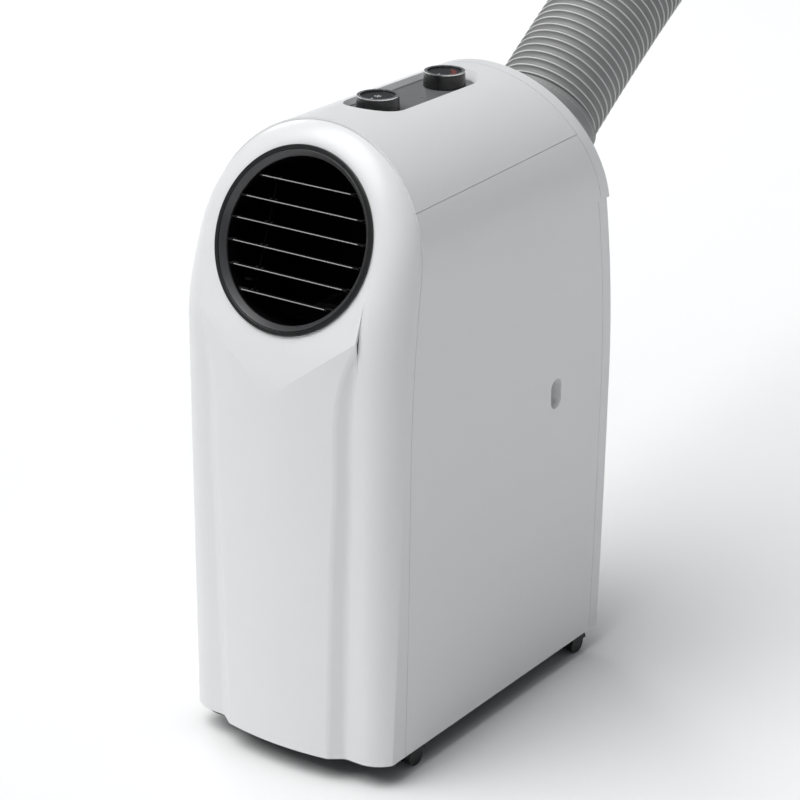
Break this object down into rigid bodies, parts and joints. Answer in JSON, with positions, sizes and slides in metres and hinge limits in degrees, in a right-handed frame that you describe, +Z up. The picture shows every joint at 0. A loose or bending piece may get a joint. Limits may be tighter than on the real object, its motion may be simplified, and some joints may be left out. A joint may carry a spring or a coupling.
{
  "type": "portable air conditioner",
  "caption": "Slim free-standing portable air conditioner on casters: arched white cabinet, tilted round louvred vent, top dials in a recess and an exhaust hose rising from the back.",
  "frame": {"origin": "on the floor, midway between the sides and midway between the front panel and the lip of the exhaust outlet", "axes": "+Z up, -Y towards the room (the side with the round vent), +Y towards the exhaust outlet, +X to the right when looking along +Y from the front"},
  "size_m": [0.2878, 1.277, 0.9709],
  "materials": {
    "white_shell": "white moulded plastic, semi-gloss",
    "grey_plastic": "grey moulded plastic",
    "black_plastic": "black moulded plastic",
    "black_gloss": "black moulded plastic, satin to gloss",
    "slat_black": "black moulded louvres, satin",
    "chrome": "plated ring",
    "galvanised": "galvanised sheet",
    "fins": "bare aluminium",
    "copper": "bare copper tube",
    "steel": "zinc-plated steel",
    "black_paint": "black enamel",
    "rubber": "black rubber",
    "hose": "grey ribbed plastic hose"
  },
  "bodies": {
    "cabinet": {"front_shell": "white_shell", "top_cover": "white_shell", "side_panel_left": "white_shell", "side_panel_right": "white_shell", "rear_shell": "white_shell", "rear_grille": "grey_plastic", "base_pan": "black_plastic", "vent_bezel": "black_gloss", "vent_drum": "black_plastic", "control_plate": "grey_plastic", "mode_switch": "black_plastic", "thermostat": "black_plastic", "divider_plate": "galvanised", "drip_tray": "grey_plastic", "evaporator_fins": "fins", "evaporator_bends": "copper", "blower_scroll": "grey_plastic", "blower_motor": "steel", "condenser_fins": "fins", "condenser_bends": "copper", "exhaust_fan_housing": "galvanised", "exhaust_motor": "steel", "exhaust_duct": "grey_plastic", "outlet_collar": "white_shell", "compressor": "black_paint", "compressor_mounts": "rubber", "refrigerant_pipes": "copper", "control_box": "galvanised", "capacitor": "fins", "cord_gland": "rubber", "drain_spigot": "black_plastic", "recess_screws": "steel", "shell_screws": "steel", "hose_duct": "hose", "hose_cuff": "hose", "window_nozzle": "white_shell"},
    "mode_dial": {"mode_knob": "black_gloss", "mode_knob_trim": "chrome"},
    "thermostat_dial": {"thermostat_knob": "black_gloss", "thermostat_knob_trim": "chrome"},
    "louvre_1": {"slat_1": "slat_black"},
    "louvre_2": {"slat_2": "slat_black"},
    "louvre_3": {"slat_3": "slat_black"},
    "louvre_4": {"slat_4": "slat_black"},
    "louvre_5": {"slat_5": "slat_black"},
    "louvre_6": {"slat_6": "slat_black"},
    "louvre_link": {"slat_link": "black_plastic"},
    "room_fan": {"blower_wheel": "black_plastic"},
    "hot_fan": {"exhaust_wheel": "black_plastic"},
    "filter": {"air_filter": "grey_plastic"},
    "caster_front_left": {"caster_fork_front_left": "black_plastic"},
    "wheels_front_left": {"caster_wheels_front_left": "black_plastic"},
    "caster_front_right": {"caster_fork_front_right": "black_plastic"},
    "wheels_front_right": {"caster_wheels_front_right": "black_plastic"},
    "caster_rear_left": {"caster_fork_rear_left": "black_plastic"},
    "wheels_rear_left": {"caster_wheels_rear_left": "black_plastic"},
    "caster_rear_right": {"caster_fork_rear_right": "black_plastic"},
    "wheels_rear_right": {"caster_wheels_rear_right": "black_plastic"}
  },
  "joints": [
    {"name": "mode_turn", "type": "hinge", "parent": "cabinet", "child": "mode_dial", "pos_m": [0, -0.072, 0.7], "axis": [0, 0, 1], "range_deg": [0, 270]},
    {"name": "thermostat_turn", "type": "hinge", "parent": "cabinet", "child": "thermostat_dial", "pos_m": [0, 0.051, 0.7], "axis": [0, 0, 1], "range_deg": [0, 270]},
    {"name": "louvre_1_tilt", "type": "hinge", "parent": "cabinet", "child": "louvre_1", "pos_m": [0, -0.18777, 0.64359], "axis": [1, 0, 0], "range_deg": [-25, 25]},
    {"name": "louvre_2_tilt", "type": "hinge", "parent": "cabinet", "child": "louvre_2", "pos_m": [0, -0.19618, 0.62111], "axis": [1, 0, 0], "range_deg": [-25, 25]},
    {"name": "louvre_3_tilt", "type": "hinge", "parent": "cabinet", "child": "louvre_3", "pos_m": [0, -0.20458, 0.59863], "axis": [1, 0, 0], "range_deg": [-25, 25]},
    {"name": "louvre_4_tilt", "type": "hinge", "parent": "cabinet", "child": "louvre_4", "pos_m": [0, -0.21299, 0.57615], "axis": [1, 0, 0], "range_deg": [-25, 25]},
    {"name": "louvre_5_tilt", "type": "hinge", "parent": "cabinet", "child": "louvre_5", "pos_m": [0, -0.22139, 0.55367], "axis": [1, 0, 0], "range_deg": [-25, 25]},
    {"name": "louvre_6_tilt", "type": "hinge", "parent": "cabinet", "child": "louvre_6", "pos_m": [0, -0.2298, 0.53119], "axis": [1, 0, 0], "range_deg": [-25, 25]},
    {"name": "link_swing", "type": "hinge", "parent": "louvre_1", "child": "louvre_link", "pos_m": [-0.048, -0.18028, 0.64079], "axis": [1, 0, 0], "range_deg": [-25, 25]},
    {"name": "room_fan_spin", "type": "hinge", "parent": "cabinet", "child": "room_fan", "pos_m": [0, -0.128, 0.431], "axis": [0, 1, 0], "continuous": true},
    {"name": "hot_fan_spin", "type": "hinge", "parent": "cabinet", "child": "hot_fan", "pos_m": [0, 0.073, 0.18], "axis": [0, 1, 0], "continuous": true},
    {"name": "filter_pull", "type": "slide", "parent": "cabinet", "child": "filter", "axis": [0, 1, 0], "range_m": [0, 0.15]},
    {"name": "caster_front_left_swivel", "type": "hinge", "parent": "cabinet", "child": "caster_front_left", "pos_m": [-0.112, -0.18, 0.044], "axis": [0, 0, 1], "continuous": true},
    {"name": "wheels_front_left_roll", "type": "hinge", "parent": "caster_front_left", "child": "wheels_front_left", "pos_m": [-0.112, -0.172, 0.0125], "axis": [1, 0, 0], "continuous": true},
    {"name": "caster_front_right_swivel", "type": "hinge", "parent": "cabinet", "child": "caster_front_right", "pos_m": [0.112, -0.18, 0.044], "axis": [0, 0, 1], "continuous": true},
    {"name": "wheels_front_right_roll", "type": "hinge", "parent": "caster_front_right", "child": "wheels_front_right", "pos_m": [0.112, -0.172, 0.0125], "axis": [1, 0, 0], "continuous": true},
    {"name": "caster_rear_left_swivel", "type": "hinge", "parent": "cabinet", "child": "caster_rear_left", "pos_m": [-0.112, 0.152, 0.044], "axis": [0, 0, 1], "continuous": true},
    {"name": "wheels_rear_left_roll", "type": "hinge", "parent": "caster_rear_left", "child": "wheels_rear_left", "pos_m": [-0.112, 0.16, 0.0125], "axis": [1, 0, 0], "continuous": true},
    {"name": "caster_rear_right_swivel", "type": "hinge", "parent": "cabinet", "child": "caster_rear_right", "pos_m": [0.112, 0.152, 0.044], "axis": [0, 0, 1], "continuous": true},
    {"name": "wheels_rear_right_roll", "type": "hinge", "parent": "caster_rear_right", "child": "wheels_rear_right", "pos_m": [0.112, 0.16, 0.0125], "axis": [1, 0, 0], "continuous": true}
  ],
  "couplings": [
    {"joint": "louvre_2_tilt", "follows": "louvre_1_tilt", "ratio": 1},
    {"joint": "louvre_3_tilt", "follows": "louvre_1_tilt", "ratio": 1},
    {"joint": "louvre_4_tilt", "follows": "louvre_1_tilt", "ratio": 1},
    {"joint": "louvre_5_tilt", "follows": "louvre_1_tilt", "ratio": 1},
    {"joint": "louvre_6_tilt", "follows": "louvre_1_tilt", "ratio": 1},
    {"joint": "link_swing", "follows": "louvre_1_tilt", "ratio": -1}
  ]
}
